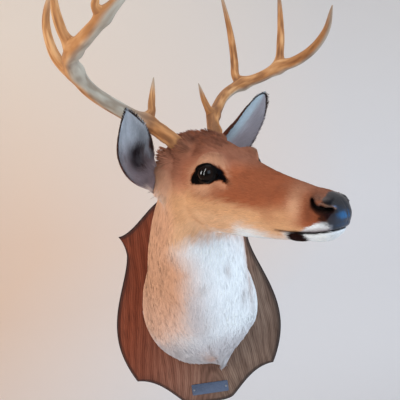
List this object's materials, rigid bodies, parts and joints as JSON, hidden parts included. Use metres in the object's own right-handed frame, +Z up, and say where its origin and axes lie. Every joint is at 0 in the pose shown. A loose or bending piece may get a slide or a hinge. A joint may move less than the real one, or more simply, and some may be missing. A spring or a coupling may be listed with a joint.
{
  "type": "deer shoulder mount",
  "caption": "White-tailed buck's head and neck with antlers, turned to its left, mounted on a shield-shaped wooden board with a bare metal plate.",
  "frame": {"origin": "on the flat back of the board, on its centre line, 212 mm above the foot of the shield", "axes": "+Y into the wall, square to the board's back; +Z up along the shield; +X to the deer's left, as a viewer who faces the mount sees it to the right"},
  "size_m": [0.4626, 0.5478, 0.806],
  "materials": {
    "wood": "stained oak-like board with open dark grain, satin varnish and a darker moulded edge",
    "nameplate": "thin bare silvery metal plate, lightly brushed",
    "pins": "small domed metal pins",
    "coat": "short deer hair, red-brown on the face, buff on the cheek and neck, white on the throat and chest, grey-white inside the ears",
    "nose": "black pebbled nose pad with a moist gloss",
    "eye": "dark brown-black glossy taxidermy eye",
    "antler": "polished antler bone, honey brown with paler greyish undersides and tips"
  },
  "bodies": {
    "root": {"board": "wood", "nameplate": "nameplate", "nameplate_pin_left": "pins", "nameplate_pin_right": "pins", "shoulder": "coat", "neck": "coat", "head": "coat", "muzzle": "coat", "lower_jaw": "coat", "nose_pad": "nose", "ear_left": "coat", "ear_right": "coat", "eye_left": "eye", "eye_right": "eye", "antler_left_beam_1": "antler", "antler_left_beam_2": "antler", "antler_left_beam_3": "antler", "antler_left_beam_4": "antler", "antler_left_brow_tine": "antler", "antler_left_tine_2": "antler", "antler_left_tine_3": "antler", "antler_right_beam_1": "antler", "antler_right_beam_2": "antler", "antler_right_beam_3": "antler", "antler_right_beam_4": "antler", "antler_right_beam_5": "antler", "antler_right_brow_tine": "antler", "antler_right_tine_2": "antler", "antler_right_tine_3": "antler", "antler_right_tine_4": "antler"}
  },
  "joints": []
}
